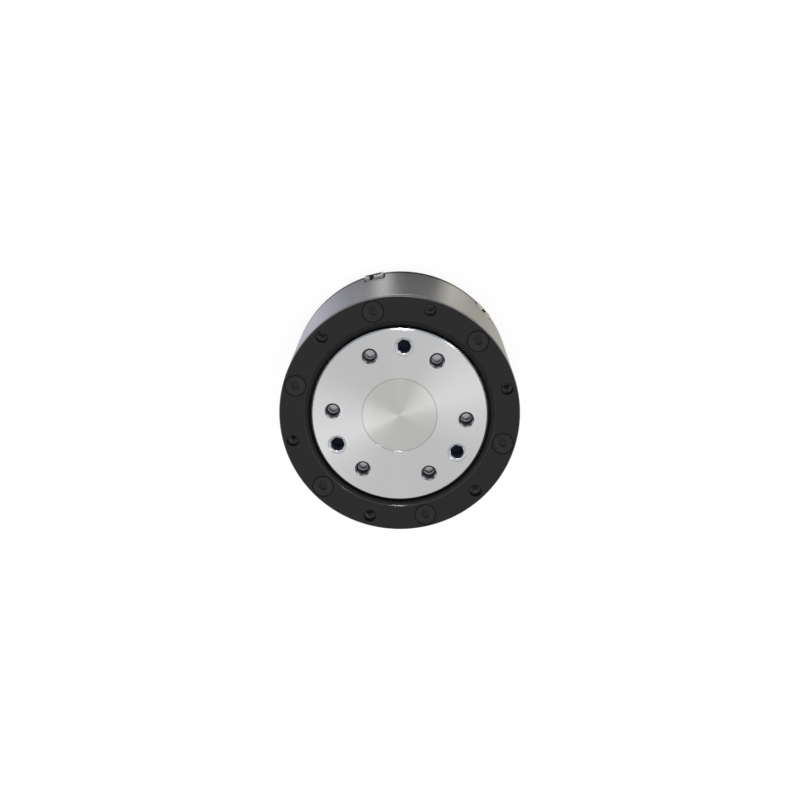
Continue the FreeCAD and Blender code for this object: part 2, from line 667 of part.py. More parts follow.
def make_stator():
    count = int(size("slot_count"))
    rear, front = size("stator_rear"), size("stator_front")
    inner, yoke = size("stator_bore"), size("motor_bore - yoke_width")
    tip = inner + size("tip_height")
    side = size("tooth_width") / 2
    tip_half = 180 / count - math.degrees(size("slot_mouth") / 2 / inner)
    waist = tip + 0.8
    edges = []
    for index in range(count):
        centre = 360 * index / count
        following = centre + 360 / count
        waist_half = math.degrees(math.asin(side / waist))
        yoke_half = math.degrees(math.asin(side / yoke))
        path = [polar(yoke, centre - yoke_half), polar(waist, centre - waist_half),
                polar(tip, centre - tip_half), polar(inner, centre - tip_half)]
        edges += [Part.LineSegment(a, b) for a, b in zip(path, path[1:])]
        edges.append(Part.Arc(path[-1], polar(inner, centre), polar(inner, centre + tip_half)))
        path = [polar(inner, centre + tip_half), polar(tip, centre + tip_half),
                polar(waist, centre + waist_half), polar(yoke, centre + yoke_half)]
        edges += [Part.LineSegment(a, b) for a, b in zip(path, path[1:])]
        edges.append(Part.Arc(path[-1], polar(yoke, centre + 180 / count),
                              polar(yoke, following - yoke_half)))
    opening = Part.Face(Part.Wire([edge.toShape() for edge in edges]))
    opening.translate(Vector(0, 0, rear))
    blank = rod(size("motor_bore - seat_gap"), rear, front)
    shaped("stator_core", [blank.cut(opening.extrude(Vector(0, 0, front - rear)))])
    shaped("stator_windings", [turned_copy(coil(), 360 * index / count) for index in range(count)])


# One winding: a frame of wire round a stator tooth.
def coil():
    inner, outer = size("stator_bore + tip_height + 1.2"), size("motor_bore - yoke_width - 0.6")
    width = size("tooth_width + 2 * coil_width")
    blank = block(inner, outer, width, size("coil_rear"), size("coil_front"))
    return blank.cut(block(inner, outer, size("tooth_width + 0.3"), size("stator_rear - 0.15"),
                           size("stator_front + 0.15")))


def make_rotor_bearings():
    for label, journal, race, rear, front in (
            ("rear_bearing", "rear_journal", "rear_race_radius", "rear_bearing_rear",
             "rear_bearing_front"),
            ("front_bearing", "nose_radius", "front_race_radius", "wall_rear", "front_bearing_front")):
        tube(label + "_inner_race", f"{journal} + seat_gap", f"{journal} + race_wall", rear, front)
        tube(label + "_outer_race", f"{journal} + race_wall + 2 * run_gap", f"{race} - seat_gap",
             rear, front)


def make_end_plate():
    body = turned("motor_end_plate", [
        ("rear_race_radius - 1", "hub_rear"), ("rear_race_radius + 2.5", "hub_rear"),
        ("rear_race_radius + 2.5", "plate_rear"), ("motor_bore - seat_gap", "plate_rear"),
        ("motor_bore - seat_gap", "stator_rear"), ("motor_bore - plate_rim", "stator_rear"),
        ("motor_bore - plate_rim", "plate_front"), ("rear_race_radius", "plate_front"),
        ("rear_race_radius", "rear_bearing_rear"), ("rear_race_radius - 1", "rear_bearing_rear")])
    middle = "(stator_bore + motor_bore) / 2"
    leads = []
    for phase in range(3):
        turn = f"{6 + phase} * 360 / slot_count"
        cut_outline(body, f"lead_slot_{phase + 1}", "plate_rear", turn,
                    slot(f"{middle} - lead_thickness", f"{middle} + lead_thickness", "lead_width + 1"),
                    "plate_thickness", rearward=False)
        leads.append(block(size(middle) - size("lead_thickness") / 2,
                           size(middle) + size("lead_thickness") / 2, size("lead_width"),
                           size("board_front"), size("coil_rear"), size(turn)))
    shaped("phase_leads", leads)


# ---------------------------------------------------------------- rear end

def make_driver():
    turned("driver_board", [("0", "board_rear"), ("skirt_bore - 0.3", "board_rear"),
                            ("skirt_bore - 0.3", "board_front"), ("0", "board_front")])
    pad = doc.addObject("Part::Box", "thermal_pad")
    for name, text in (("Length", "26"), ("Width", "18"), ("Height", "ledge_height")):
        pad.setExpression(name, bind(text))
    pad.setExpression(".Placement.Base.x", bind("-13"))
    pad.setExpression(".Placement.Base.y", bind("-30"))
    pad.setExpression(".Placement.Base.z", bind("cover_floor"))
    pieces.append(pad)
    top = size("board_front")
    shaped("encoder_chip", [block(-2.5, 2.5, 4, top, top + 1)])
    chips = [block(22, 28, 5, top, top + 1.1, 245 + 16 * index) for index in range(6)]
    chips += [block(8, 15, 7, top, top + 0.9, 60), block(10, 15, 5, top, top + 0.9, 165),
              block(18, 23, 9, top, top + 3, 20)]
    shaped("board_chips", chips)


def make_connectors():
    for port, pins, pin_width, pitch in (("signal", 4, 0.5, 1.5), ("power", 2, 1.6, 3)):
        turn = size(port + "_angle")
        outer = size(f"body_radius + {port}_stand")
        inner = outer - size("port_depth")
        width, height, wall = size(port + "_width"), size(port + "_height"), size("port_wall")
        rear = size("board_front")
        floor = outer - size("socket_depth")
        shell = block(inner, outer, width, rear, rear + height, turn)
        socket = block(floor, outer, width - 2 * wall, rear + wall, rear + height - wall, turn)
        latch = block(outer - 3.5, outer, size("latch_width"), rear + height - wall, rear + height, turn)
        shaped(port + "_connector", [shell.cut(socket).cut(latch)])
        middle = rear + height / 2
        contacts = [block(floor, outer - 1.5, pin_width, middle - 0.3, middle + 0.3, turn,
                          (index - (pins - 1) / 2) * pitch) for index in range(pins)]
        shaped(port + "_contacts", contacts)


make_housing()
make_front_ring()
make_main_bearing()
make_output()
make_carrier()
make_gears()
make_sun_shaft()
make_rotor()
make_stator()
make_rotor_bearings()
make_end_plate()
make_driver()
make_connectors()
make_rear_cover()
doc.recompute()

failed = [item.Name for item in doc.Objects if "Invalid" in item.State or "Error" in item.State]
failed += [piece.Label for piece in pieces if piece.Shape.isNull() or not piece.Shape.isValid()]
if failed:
    raise RuntimeError("these did not build: " + ", ".join(failed))
os.makedirs("parts", exist_ok=True)
for piece in pieces:
    piece.Shape.exportStep(f"parts/{piece.Label}.step")
    print(piece.Label, len(piece.Shape.Solids), "solids", round(piece.Shape.Volume, 1), "mm3")
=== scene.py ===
import json
import math

import bmesh
import bpy
import numpy as np
from mathutils import Matrix, Vector


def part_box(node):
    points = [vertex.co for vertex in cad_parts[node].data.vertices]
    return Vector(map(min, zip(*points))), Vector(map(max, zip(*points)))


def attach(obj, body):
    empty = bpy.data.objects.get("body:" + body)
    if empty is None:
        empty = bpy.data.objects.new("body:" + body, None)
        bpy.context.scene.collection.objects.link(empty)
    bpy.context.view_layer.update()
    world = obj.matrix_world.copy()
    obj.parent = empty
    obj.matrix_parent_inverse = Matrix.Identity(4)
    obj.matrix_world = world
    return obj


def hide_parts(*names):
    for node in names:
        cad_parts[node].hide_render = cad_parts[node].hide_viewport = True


# A round robot joint actuator standing on its rear cover, output flange up. Lengths are in
# millimetres here and become metres in makePiece. Heights and radii come from the CAD nodes.

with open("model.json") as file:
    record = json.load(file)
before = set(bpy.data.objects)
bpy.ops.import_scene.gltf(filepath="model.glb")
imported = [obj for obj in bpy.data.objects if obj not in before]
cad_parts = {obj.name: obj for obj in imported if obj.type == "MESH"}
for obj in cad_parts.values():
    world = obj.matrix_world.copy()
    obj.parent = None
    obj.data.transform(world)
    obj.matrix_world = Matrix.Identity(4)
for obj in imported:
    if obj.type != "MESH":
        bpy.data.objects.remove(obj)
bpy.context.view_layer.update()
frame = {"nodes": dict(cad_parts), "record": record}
mm = 0.001
tiny = 1e-6      # slack in comparisons


# the rear and front height and the outer radius of a CAD node, in millimetres

def lowest(node):
    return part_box(node)[0].z / mm


def highest(node):
    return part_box(node)[1].z / mm


def radiusOf(node):
    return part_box(node)[1].x / mm


scene = bpy.context.scene
scene.view_settings.view_transform = "Standard"
print("frame loaded")


# the turned sizes that several pieces share

body = {
    "radius": radiusOf("front_ring"),
    "ringRear": lowest("front_ring"),
    "ringFront": highest("front_ring"),
    "coverFront": lowest("housing"),
    "discFront": highest("output_flange"),
    "sealRadius": radiusOf("dust_seal"),
    "outputTurn": -2.8,      # degrees, as the CAD draws the output
    "sector": 30,            # degrees; a plate is made in sectors with a hole or none each
    "steps": 48,             # grid steps along one sector
}
sectorCount = 360 // body["sector"]
halfSector = body["sector"] / 2


# mesh helpers

def gridQuads(rows, columns, first=0):
    # faces of a rows x columns grid of points, counted row by row
    index = first + np.arange(rows * columns).reshape(rows, columns)
    return np.stack([index[:-1, :-1], index[:-1, 1:], index[1:, 1:], index[1:, :-1]], -1).reshape(-1, 4)


class Shell:
    # collects grids of points, each with the name of the skin it wears; makePiece merges the edges
    def __init__(self):
        self.points = []
        self.quads = []
        self.skins = []
        self.count = 0

    def add(self, grid, skin="main"):
        # a grid of points (row, column, xyz) and its quads
        rows, columns = grid.shape[:2]
        quads = gridQuads(rows, columns, self.count)
        self.points.append(grid.reshape(-1, 3))
        self.quads.append(quads)
        self.skins.append((skin, len(quads)))
        self.count += rows * columns


def turnedGrid(profile, angles):
    # point(profile k, angle t) = (r_k cos t, r_k sin t, z_k)
    radius, height = np.array(profile, float).T
    return np.stack([np.outer(radius, np.cos(angles)), np.outer(radius, np.sin(angles)),
                     np.outer(height, np.ones_like(angles))], -1)


def eased(corners, arcSteps=3):
    # a profile of (r, z, ease): each corner is cut back by its ease along both legs and rounded
    path = []
    for index, (r, z, ease) in enumerate(corners):
        here = np.array([r, z])
        if ease == 0 or index in (0, len(corners) - 1):
            path.append(here)
            continue
        before = np.array(corners[index - 1][:2]) - here
        after = np.array(corners[index + 1][:2]) - here
        start = here + before * ease / np.linalg.norm(before)
        end = here + after * ease / np.linalg.norm(after)
        for t in np.linspace(0, 1, arcSteps + 1):
            path.append((1 - t) ** 2 * start + 2 * t * (1 - t) * here + t ** 2 * end)
    return [tuple(point) for point in path]


def fullTurn(count):
    # angles of a closed turn in `count` steps, with both ends
    return np.linspace(0, 2 * math.pi, count + 1)


meshing = {"merge": 2e-6, "degenerate": 1e-7, "sharpAngle": 32}      # metres, metres, degrees


def makePiece(name, shell, bodyName, skins, replaced):
    # one mesh out of a shell's grids, merged where they meet; `skins` gives the material of each skin name
    mesh = bpy.data.meshes.new(name)
    points = np.concatenate(shell.points) * mm
    quads = np.concatenate(shell.quads)
    mesh.from_pydata(points.tolist(), [], quads.tolist())
    worn, counts = zip(*shell.skins)
    order = list(skins)
    mesh.polygons.foreach_set("material_index", np.repeat([order.index(skin) for skin in worn], counts))
    work = bmesh.new()
    work.from_mesh(mesh)
    bmesh.ops.remove_doubles(work, verts=work.verts, dist=meshing["merge"])
    bmesh.ops.dissolve_degenerate(work, edges=work.edges, dist=meshing["degenerate"])
    bmesh.ops.recalc_face_normals(work, faces=work.faces)
    work.to_mesh(mesh)
    work.free()
    mesh.polygons.foreach_set("use_smooth", np.ones(len(mesh.polygons), bool))
    mesh.set_sharp_from_angle(angle=math.radians(meshing["sharpAngle"]))
    for material in skins.values():
        mesh.materials.append(material)
    piece = bpy.data.objects.new(name, mesh)
    scene.collection.objects.link(piece)
    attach(piece, bodyName)
    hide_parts(*replaced)
    return piece


# a round plate in sectors, each with a round hole or none

plate = {"spokes": [0, 0.12, 0.4, 1],    # where the flat's rings lie, from the hole's rim to the edge
         "sideSteps": 24}                # grid steps along a sector's straight sides


def evenTurns(first):
    # the columns of a plate, evenly spaced from `first` degrees
    steps = body["steps"]
    return math.radians(first) + np.arange(sectorCount * steps) * math.radians(body["sector"] / steps)


def sectorTurns(turns, centre):
    # the columns within half a sector of `centre`, both ends included
    away = np.mod(turns - centre + math.pi, 2 * math.pi) - math.pi
    inside = np.abs(away) < math.radians(halfSector) + tiny
    return centre + np.sort(away[inside])


def sectorEdge(across, inner, outer):
    # outline of one sector: outer arc, side, inner arc, side, and back to the start
    steps = plate["sideSteps"]
    down = np.linspace(outer, inner, steps + 1)
    along = len(across) - 1
    radius = np.concatenate([np.full(along, outer), down[:-1], np.full(along, inner), down[::-1]])
    angle = np.concatenate([across[:-1], np.full(steps, across[-1]), across[::-1][:-1],
                            np.full(steps + 1, across[0])])
    return np.stack([radius * np.cos(angle), radius * np.sin(angle)], -1)


def holedSector(shell, centre, across, inner, outer, z, hole):
    # the flat face runs from the hole's rim (t = 0) to the sector's outline (t = 1); a wall point's
    # third number is how far the cutter's chatter, a cosine of the angle, moves it
    edge = sectorEdge(across, inner, outer)
    middle = hole["distance"] * np.array([math.cos(centre), math.sin(centre)])
    toEdge = edge - middle
    spokes = toEdge / np.linalg.norm(toEdge, axis=1)[:, None]
    rim = middle + hole["wall"][0][0] * spokes
    t = np.array(plate["spokes"])[:, None, None]
    flat = rim * (1 - t) + edge * t
    shell.add(np.concatenate([flat, np.full(flat.shape[:2] + (1,), z)], -1), hole.get("faceSkin", "main"))
    start = 0
    ripple = np.cos(hole.get("ripples", 0) * np.arctan2(spokes[:, 1], spokes[:, 0]))[:, None]
    for end, skin in hole.get("skins", [(len(hole["wall"]) - 1, "main")]):
        radius, height, chatter = np.array([(*point, 0)[:3] for point in hole["wall"][start:end + 1]]).T
        wall = middle + (radius[:, None, None] + chatter[:, None, None] * ripple) * spokes
        heights = np.broadcast_to(height[:, None, None], wall.shape[:2] + (1,))
        shell.add(np.concatenate([wall, heights], -1), skin)
        start = end


def plateFace(shell, inner, outer, z, firstAngle, holes, turns):
    # holes repeats round the sectors; None leaves a sector plain. A hole's skins say up to which
    # point of its wall each skin goes
    for index in range(sectorCount):
        centre = math.radians(firstAngle + body["sector"] * index)
        across = sectorTurns(turns, centre)
        hole = holes[index % len(holes)]
        if hole:
            holedSector(shell, centre, across, inner, outer, z, hole)
        else:
            radii = np.linspace(inner, outer, plate["sideSteps"] + 1)
            shell.add(turnedGrid([(radius, z) for radius in radii], across))


# material helpers

def newMaterial(name):
    # a material with its node tree and its shader
    material = bpy.data.materials.new(name)
    material.use_nodes = True
    tree = material.node_tree
    return material, tree, tree.nodes["Principled BSDF"]


def node(tree, kind, **settings):
    # a new node with its settings set
    made = tree.nodes.new(kind)
    for key, value in settings.items():
        setattr(made, key, value)
    return made


def noise(tree, scale, detail, dimensions="3D"):
    # a noise texture; in one dimension it makes lines
    made = node(tree, "ShaderNodeTexNoise", noise_dimensions=dimensions)
    made.inputs["Scale"].default_value = scale
    made.inputs["Detail"].default_value = detail
    return made


def objectPoint(tree):
    # the point in the frame's own metres
    return node(tree, "ShaderNodeTexCoord").outputs["Object"]


def distanceFromAxis(tree):
    # length of (x, y, 0)
    flatten = node(tree, "ShaderNodeVectorMath", operation="MULTIPLY")
    flatten.inputs[1].default_value = (1, 1, 0)
    tree.links.new(objectPoint(tree), flatten.inputs[0])
    length = node(tree, "ShaderNodeVectorMath", operation="LENGTH")
    tree.links.new(flatten.outputs[0], length.inputs[0])
    return length.outputs["Value"]


def ramp(tree, source, low, high, lowColour, highColour):
    # the source from `low` to `high` becomes a colour between the two
    made = node(tree, "ShaderNodeValToRGB")
    made.color_ramp.elements[0].position = low
    made.color_ramp.elements[1].position = high
    made.color_ramp.elements[0].color = (*lowColour, 1)
    made.color_ramp.elements[1].color = (*highColour, 1)
    tree.links.new(source, made.inputs["Fac"])
    return made.outputs["Color"]


def spread(tree, source, low, high):
    # the source from 0 to 1 becomes a value from `low` to `high`
    made = node(tree, "ShaderNodeMapRange")
    made.inputs["To Min"].default_value = low
    made.inputs["To Max"].default_value = high
    tree.links.new(source, made.inputs["Value"])
    return made.outputs["Result"]


def addBump(tree, shader, height, distance):
    # tilts the surface by the slope of the height, which is `distance` metres at 1
    bump = node(tree, "ShaderNodeBump")
    bump.inputs["Distance"].default_value = distance
    bump.inputs["Strength"].default_value = 1.0
    tree.links.new(height, bump.inputs["Height"])
    tree.links.new(bump.outputs["Normal"], shader.inputs["Normal"])


# materials

# grain is the noise's scale, ramp the part of the noise that runs from dark to light, and depth
# the height of the bumps in metres
anodised = {"dark": (0.18, 0.18, 0.182), "light": (0.38, 0.38, 0.385), "grain": 2700, "detail": 4,
            "ramp": (0.38, 0.62), "stretch": (1.0, 1.0, 0.7), "roughness": (0.30, 0.42),
            "metallic": 0.9, "depth": 0.00005}


def makeAnodised():
    # turned, blasted and anodised aluminium: grain in colour, gloss and height
    material, tree, shader = newMaterial("anodisedGrey")
    stretch = node(tree, "ShaderNodeMapping")
    stretch.inputs["Scale"].default_value = anodised["stretch"]
    tree.links.new(objectPoint(tree), stretch.inputs["Vector"])
    grain = noise(tree, anodised["grain"], anodised["detail"])
    tree.links.new(stretch.outputs["Vector"], grain.inputs["Vector"])
    colour = ramp(tree, grain.outputs["Fac"], *anodised["ramp"], anodised["dark"], anodised["light"])
    tree.links.new(colour, shader.inputs["Base Color"])
    tree.links.new(spread(tree, grain.outputs["Fac"], *anodised["roughness"]), shader.inputs["Roughness"])
    shader.inputs["Metallic"].default_value = anodised["metallic"]
    addBump(tree, shader, grain.outputs["Fac"], anodised["depth"])
    return material


turnedFace = {"anisotropy": 0.85, "rotation": 0.25, "roughness": (0.25, 0.38), "lines": 5200,
              "detail": 2, "ramp": (0.3, 0.7), "depth": 0.000003}


def makeTurned(name, dark, light):
    # lathe-turned aluminium: fine rings round the axis, which pull highlights out along the radius
    material, tree, shader = newMaterial(name)
    lines = noise(tree, turnedFace["lines"], turnedFace["detail"], "1D")
    tree.links.new(distanceFromAxis(tree), lines.inputs["W"])
    colour = ramp(tree, lines.outputs["Fac"], *turnedFace["ramp"], dark, light)
    tree.links.new(colour, shader.inputs["Base Color"])
    tree.links.new(spread(tree, lines.outputs["Fac"], *turnedFace["roughness"]), shader.inputs["Roughness"])
    shader.inputs["Metallic"].default_value = 1.0
    shader.inputs["Anisotropic"].default_value = turnedFace["anisotropy"]
    shader.inputs["Anisotropic Rotation"].default_value = turnedFace["rotation"]
    tangent = node(tree, "ShaderNodeTangent", direction_type="RADIAL", axis="Z")
    tree.links.new(tangent.outputs["Tangent"], shader.inputs["Tangent"])
    addBump(tree, shader, lines.outputs["Fac"], turnedFace["depth"])
    return material


plainFinish = {"detail": 3, "ramp": (0.3, 0.7), "gloss": 0.5}


def makePlain(name, dark, light, grain, roughness, metallic, depth, gloss=plainFinish["gloss"]):
    # one colour, broken up by grain into dark and light; depth is the bumps' height in metres
    material, tree, shader = newMaterial(name)
    texture = noise(tree, grain, plainFinish["detail"])
    tree.links.new(objectPoint(tree), texture.inputs["Vector"])
    colour = ramp(tree, texture.outputs["Fac"], *plainFinish["ramp"], dark, light)
    tree.links.new(colour, shader.inputs["Base Color"])
    tree.links.new(spread(tree, texture.outputs["Fac"], *roughness), shader.inputs["Roughness"])
    shader.inputs["Metallic"].default_value = metallic
    shader.inputs["Specular IOR Level"].default_value = gloss
    addBump(tree, shader, texture.outputs["Fac"], depth)
    return material


# One finish for each of the record's material slots. A plain one has its name, dark and light
# colour, grain, roughness from low to high, metallic, depth and, if not the usual one, gloss
finishes = {
    "anodised_grey": makeAnodised(),
    "anodised_black": makePlain("blackCoat", (0.007, 0.007, 0.008), (0.012, 0.012, 0.013), 3200,
                                (0.42, 0.55), 0.0, 0.000006, 0.22),
    "turned_aluminium": makeTurned("turnedAluminium", (0.575, 0.575, 0.58), (0.64, 0.64, 0.645)),
    "cap_metal": makeTurned("capMetal", (0.54, 0.535, 0.515), (0.60, 0.595, 0.575)),
    "black_steel": makePlain("blackSteel", (0.008, 0.008, 0.009), (0.014, 0.014, 0.015), 3000,
                             (0.38, 0.5), 0.0, 0.000005, 0.25),
    "bearing_steel": makePlain("bearingSteel", (0.5, 0.5, 0.52), (0.62, 0.62, 0.64), 1500,
                               (0.15, 0.3), 1.0, 0.000002),
    "gear_steel": makePlain("gearSteel", (0.38, 0.38, 0.4), (0.5, 0.5, 0.52), 1800,
                            (0.25, 0.4), 1.0, 0.000004),
    "bronze": makePlain("bronze", (0.5, 0.32, 0.14), (0.66, 0.45, 0.22), 2500, (0.35, 0.5), 1.0,
                        0.000006),
    "copper": makePlain("copper", (0.55, 0.22, 0.1), (0.75, 0.36, 0.18), 1200, (0.25, 0.4), 0.9,
                        0.00002),
    "electrical_steel": makePlain("electricalSteel", (0.22, 0.22, 0.24), (0.34, 0.34, 0.36), 900,
                                  (0.4, 0.6), 0.9, 0.00001),
    "magnet": makePlain("magnetPlate", (0.5, 0.5, 0.5), (0.62, 0.62, 0.61), 1400, (0.2, 0.35), 1.0,
                        0.000003),
    "board": makePlain("boardMask", (0.01, 0.09, 0.03), (0.02, 0.14, 0.05), 1500, (0.3, 0.45), 0.0,
                       0.000005),
    "chip": makePlain("chipEpoxy", (0.012, 0.012, 0.012), (0.025, 0.025, 0.025), 3000, (0.5, 0.7),
                      0.0, 0.000005),
    "cream_plastic": makePlain("creamPlastic", (0.58, 0.52, 0.42), (0.70, 0.64, 0.53), 1500,
                               (0.38, 0.5), 0.0, 0.000006),
    "tin": makePlain("tinnedContact", (0.6, 0.6, 0.58), (0.72, 0.72, 0.7), 2000, (0.2, 0.35), 1.0,
                     0.000003),
    "rubber_black": makePlain("sealRubber", (0.006, 0.006, 0.006), (0.011, 0.011, 0.011), 2500,
                              (0.5, 0.65), 0.0, 0.000008, 0.25),
    "silicone": makePlain("thermalSilicone", (0.36, 0.42, 0.48), (0.44, 0.5, 0.56), 1200,
                          (0.6, 0.8), 0.0, 0.00001),
}

# skins of the surfaces that are cut, bevelled or in shade; most are darker copies of a finish as painted
# shade, and the bevel's blue tint is a painted reflection
# the disc's aluminium made darker: painted shade on the bolt holes' floors and in the cap's pocket
boreMetalPaintedShade = makePlain("boreMetalPaintedShade", (0.36, 0.37, 0.39), (0.50, 0.51, 0.53), 2600, (0.16, 0.28), 1.0,
                      0.000004)
# the aluminium darker still: painted shade on the thread walls and on the dowel holes' land
threadPaintedShade = makePlain("threadPaintedShade", (0.15, 0.155, 0.17), (0.24, 0.245, 0.26), 2600, (0.14, 0.26), 1.0,
                        0.000004)
# the disc's metal with a blue tint: a painted reflection on the rim's bevel
bevelPaintedBlueReflection = makePlain("bevelPaintedBlueReflection", (0.58, 0.595, 0.63), (0.62, 0.635, 0.67), 2600, (0.2, 0.26), 1.0,
                       0.000002)
mouthMetal = makePlain("mouthMetal", (0.56, 0.57, 0.60), (0.72, 0.73, 0.75), 2600, (0.10, 0.20), 1.0,
                       0.000004)
tapMetal = makePlain("tapMetal", (0.42, 0.42, 0.422), (0.54, 0.54, 0.542), 2600, (0.4, 0.6), 0.2,
                     0.000004, 0.2)
# a dark brown copy of the cream plastic: painted shade on the signal connector's outside
signalBodyPaintedShade = makePlain("signalBodyPaintedShade", (0.30, 0.24, 0.21), (0.40, 0.33, 0.29), 1500, (0.5, 0.7), 0.0,
                        0.000006, 0.3)
platePale = makePlain("platePale", (0.44, 0.44, 0.48), (0.56, 0.56, 0.60), 1500, (0.4, 0.55), 0.3,
                      0.000006)
# dark navy painted shade for the dowel holes' deep walls and floors
deepBorePaintedShade = makePlain("deepBorePaintedShade", (0.06, 0.08, 0.125), (0.09, 0.115, 0.165), 2000, (0.4, 0.6), 0.0,
                     0.000004, 0.2)
# near-black painted shade for the housing's face under the ring, its holes' edges, the cut-outs' cut faces
# and the connectors' sockets
paintedShadeDark = makePlain("paintedShadeDark", (0.034, 0.034, 0.036), (0.05, 0.05, 0.052), 2000, (0.4, 0.6), 0.0,
                     0.000004, 0.2)
# blacker than the black steel: painted shade in the screws' sockets and round their heads
recessPaintedShade = makePlain("recessPaintedShade", (0.004, 0.004, 0.004), (0.007, 0.007, 0.007), 2000, (0.5, 0.7),
                        0.0, 0.000004, 0.1)
# near-black metal: on hole edges a painted dark reflection line, on the disc's wall under the bevel painted
# shade
edgeShade = makePlain("edgeShade", (0.05, 0.055, 0.065), (0.08, 0.085, 0.1), 2000, (0.3, 0.4), 1.0,
                      0.000002)
lipGloss = makePlain("lipGloss", (0.02, 0.02, 0.022), (0.03, 0.03, 0.032), 2000, (0.12, 0.2), 0.0,
                     0.000002, 0.4)
ringSide = makePlain("ringSide", (0.10, 0.10, 0.102), (0.17, 0.17, 0.172), 1800, (0.3, 0.42), 0.6,
                     0.00001)

for entry in frame["record"]["subparts"]:
    cadMesh = frame["nodes"][entry["node"]].data
    cadMesh.materials.clear()
    cadMesh.materials.append(finishes[entry["material_slot"]])
print("materials made")


# front ring

# a seat is eased from seatSoft outside its radius and drops straight by seatLand before its cone
frontRing = {"inner": 35.1, "lip": 0.62, "edge": 0.3, "partingEdge": 0.22,
             "lipEase": 0.1, "edgeEase": 0.12, "partingEase": 0.08,
             "screwSeat": 4.12, "seatSoft": 0.06, "seatLand": 0.12, "seatEase": 0.05,
             "screwShank": 1.97, "screwCircle": 40.25,
             "mountHole": 2.3, "mountMouth": 2.45, "mountCircle": 41.25, "firstHole": 15}


def makeFrontRing():
    # a flat ring with six countersunk seats and six clearance holes, closed by turned walls
    shell = Shell()
    spec = frontRing
    rear, front = body["ringRear"], body["ringFront"]
    radius, edge, parting = body["radius"], spec["edge"], spec["partingEdge"]
    inner, lip = spec["inner"], spec["lip"]
    seat, shank, soft = spec["screwSeat"], spec["screwShank"], spec["seatSoft"]
    coneTop = front - spec["seatLand"]
    seatWall = eased([(seat + soft, front, 0), (seat, front, soft), (seat, coneTop, spec["seatEase"]),
                      (shank, coneTop - seat + shank, 0), (shank, rear, 0)])
    mouth, hole = spec["mountMouth"], spec["mountHole"]
    mountWall = [(mouth, front), (hole, front - (mouth - hole)), (hole, rear)]
    mount = {"distance": spec["mountCircle"], "wall": mountWall}
    screw = {"distance": spec["screwCircle"], "wall": seatWall}
    first = spec["firstHole"]
    turns = evenTurns(first - halfSector)
    plateFace(shell, inner + lip, radius - edge, front, first, [mount, screw], turns)
    rearMount = {"distance": spec["mountCircle"], "wall": [(hole, rear), (hole, rear)]}
    rearScrew = {"distance": spec["screwCircle"], "wall": [(shank, rear), (shank, rear)]}
    plateFace(shell, inner, radius - parting, rear, first, [rearMount, rearScrew], turns)
    angles = math.radians(first - halfSector) + fullTurn(sectorCount * body["steps"])
    outerWall = eased([(radius - edge, front, 0), (radius, front - edge, spec["edgeEase"]),
                       (radius, rear + parting, spec["partingEase"]), (radius - parting, rear, 0)])
    innerWall = eased([(inner + lip, front, 0), (inner, front - lip, spec["lipEase"]), (inner, rear, 0)])
    shell.add(turnedGrid(outerWall, angles), "side")
    shell.add(turnedGrid(innerWall[:2], angles), "lip")
    shell.add(turnedGrid(innerWall[1:], angles))
    return makePiece("frontRing", shell, "housing",
                     {"main": finishes["anodised_black"], "side": ringSide, "lip": lipGloss},
                     replaced=["front_ring"])


makeFrontRing()
print("front ring made")


# ring screws

ringScrew = {"head": 3.93, "shank": 1.95, "length": 12, "sunk": 0.08, "edge": 0.22, "socket": 2.7,
             "entry": 1.68, "depth": 0.9, "first": 45, "count": 6, "steps": 96, "turnEach": 0.5,
             "turnFirst": 0.3}
# what the screws share: the drill point below the socket, the share of the hexagon that the
# socket's floor keeps, how deep the entry cone goes, the fine edges, and the shank's end
screwForm = {"drillPoint": 0.35, "floorShare": 0.86, "entryDepth": 0.22, "fine": 0.03,
             "entryEdge": 0.05, "endEdge": 0.25}


def hexRadius(angle, flats):
    # distance from the centre to the side of a hexagon that is `flats` across
    sixth = math.pi / 3
    return flats / 2 / np.cos(np.mod(angle, sixth) - sixth / 2)


def screwGrid(spec, socketTurn):
    # one path per angle: socket floor, hexagon wall, entry cone, face, edge, cone, shank, end
    angle = fullTurn(spec["steps"])
    hexagon = hexRadius(angle + socketTurn, spec["socket"])
    one = np.ones_like(angle)
    head, shank, edge, entry = spec["head"], spec["shank"], spec["edge"], spec["entry"]
    depth, length = spec["depth"], spec["length"]
    fine, endEdge = screwForm["fine"], screwForm["endEdge"]
    rows = [(0 * one, -depth - screwForm["drillPoint"]), (hexagon * screwForm["floorShare"], -depth),
            (hexagon, -depth), (hexagon, -screwForm["entryDepth"]), (entry * one, -fine),
            ((entry + screwForm["entryEdge"]) * one, 0), ((head - edge) * one, 0),
            ((head - fine) * one, -fine), (head * one, -edge),
            (shank * one, -edge - (head - shank)), (shank * one, endEdge - length),
            ((shank - endEdge) * one, -length), (0 * one, -length)]
    radius = np.array([row[0] for row in rows])
    height = np.array([row[1] for row in rows])[:, None] * one
    return np.stack([radius * np.cos(angle), radius * np.sin(angle), height], -1)


def makeRingScrews():
    # screws on a circle in the ring, each with its socket turned another way. The hexagon's wall,
    # the head's edge and the shank wear the dark skin, a near-black painted shade
    shell = Shell()
    spec = ringScrew
    for index in range(spec["count"]):
        turn = math.radians(spec["first"] + 360 / spec["count"] * index)
        place = frontRing["screwCircle"] * np.array([math.cos(turn), math.sin(turn), 0])
        grid = (screwGrid(spec, spec["turnEach"] * index + spec["turnFirst"]) + place
                + np.array([0, 0, body["ringFront"] - spec["sunk"]]))
        # rows of the grid, from start up to end
        for start, end, skin in ((0, 3, "main"), (2, 4, "recess"), (3, 7, "main"), (6, 13, "recess")):
            shell.add(grid[start:end], skin)
    return makePiece("ringScrews", shell, "housing",
                     {"main": finishes["black_steel"], "recess": recessPaintedShade},
                     replaced=["front_ring_screws"])


makeRingScrews()
print("ring screws made")


# output disc

